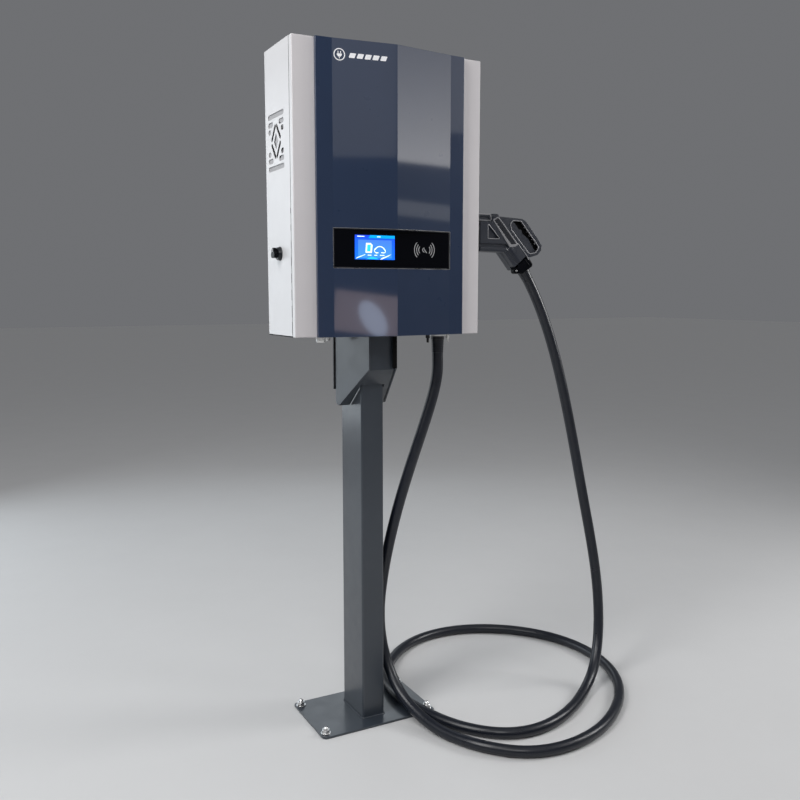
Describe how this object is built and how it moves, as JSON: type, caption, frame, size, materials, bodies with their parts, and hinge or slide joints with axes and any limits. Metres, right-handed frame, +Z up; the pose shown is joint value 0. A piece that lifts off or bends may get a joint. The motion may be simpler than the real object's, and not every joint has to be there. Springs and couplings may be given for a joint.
{
  "type": "ev charging post",
  "caption": "Floor-standing DC charger: a wall-box cabinet with a folded navy front on a rectangular post, with one looped cable parked in a side holster.",
  "frame": {"origin": "centre of the post on the underside of the base plate, at floor level", "axes": "+Z up; +X to the right of someone facing the display; -Y towards that person"},
  "size_m": [1.0982, 0.8298, 1.774],
  "materials": {
    "post_paint": "satin slate-grey powder coat",
    "black_steel": "satin black paint",
    "side_paint": "cool white powder coat, fine texture",
    "cover_paint": "warm light grey powder coat, fine texture",
    "navy_paint": "glossy navy coat",
    "black_plastic": "fine-grained black plastic",
    "window_glass": "glossy black-backed glass",
    "screen": "lit liquid-crystal panel",
    "circuit_board": "green solder mask",
    "zinc_steel": "bright zinc plate",
    "aluminium": "extruded, bead blasted",
    "copper": "bare copper",
    "connector_shell": "charcoal-blue moulded plastic, fine grain",
    "cable_rubber": "satin black rubber"
  },
  "bodies": {
    "root": {"anchor_bolt_front_left": "zinc_steel", "anchor_bolt_front_right": "zinc_steel", "anchor_bolt_rear_left": "zinc_steel", "anchor_bolt_rear_right": "zinc_steel", "base_plate": "post_paint", "body_tray": "cover_paint", "busbar_negative": "copper", "busbar_positive": "copper", "cable_sleeve": "cable_rubber", "card_reader": "circuit_board", "charge_cable": "cable_rubber", "clamp_bolt_left": "zinc_steel", "clamp_bolt_right": "zinc_steel", "control_board": "circuit_board", "display_bezel": "black_plastic", "display_glass": "window_glass", "fan_frame_left": "black_plastic", "fan_frame_right": "black_plastic", "fascia": "navy_paint", "front_cover": "cover_paint", "hanging_rail": "zinc_steel", "head_cheek_left": "post_paint", "head_cheek_right": "post_paint", "head_front": "post_paint", "head_seat_plate": "post_paint", "holster": "black_plastic", "lcd_module": "screen", "main_breaker": "black_plastic", "mount_plate": "black_steel", "mounting_plate": "zinc_steel", "output_contactor": "black_plastic", "output_gland": "zinc_steel", "post_cap": "post_paint", "post_tube": "post_paint", "power_module_left": "aluminium", "power_module_right": "aluminium", "side_panel_left": "side_paint", "side_panel_right": "side_paint", "spine_tube": "black_steel", "supply_gland_large": "zinc_steel", "supply_gland_small": "zinc_steel", "switch_bezel": "black_plastic", "terminal_block": "black_plastic"},
    "connector": {"connector_nose": "black_plastic", "contact_positive": "copper", "contact_negative": "copper", "connector_shell_near": "connector_shell", "connector_shell_far": "connector_shell", "inlay_near": "connector_shell", "inlay_far": "connector_shell", "guard_ribs": "black_plastic", "latch_pin": "zinc_steel", "clamp_cap": "black_plastic", "clamp_screw": "zinc_steel", "connector_sleeve": "cable_rubber"},
    "latch": {"latch_lever": "black_plastic"},
    "switch": {"switch_knob": "black_plastic"},
    "rotor_left": {"fan_rotor_left": "black_plastic"},
    "rotor_right": {"fan_rotor_right": "black_plastic"},
    "breaker_lever": {"breaker_toggle": "black_plastic"}
  },
  "joints": [
    {"name": "connector_unplug", "type": "slide", "parent": "root", "child": "connector", "axis": [1, 0, 0], "range_m": [0, 0.07], "deforming": ["charge_cable"]},
    {"name": "latch_press", "type": "hinge", "parent": "connector", "child": "latch", "pos_m": [0.356, -0.085, 1.38], "axis": [0, 1, 0], "range_deg": [0, 3], "stiffness_Nm_per_rad": 0.5},
    {"name": "switch_turn", "type": "hinge", "parent": "root", "child": "switch", "pos_m": [-0.269, -0.0826, 1.277], "axis": [1, 0, 0], "range_deg": [0, 90]},
    {"name": "fan_left_spin", "type": "hinge", "parent": "root", "child": "rotor_left", "pos_m": [-0.2435, -0.066, 1.548], "axis": [1, 0, 0], "continuous": true},
    {"name": "fan_right_spin", "type": "hinge", "parent": "root", "child": "rotor_right", "pos_m": [0.2435, -0.066, 1.548], "axis": [1, 0, 0], "continuous": true},
    {"name": "breaker_switch", "type": "hinge", "parent": "root", "child": "breaker_lever", "pos_m": [-0.17, -0.0785, 1.172], "axis": [1, 0, 0], "range_deg": [0, 50]}
  ]
}
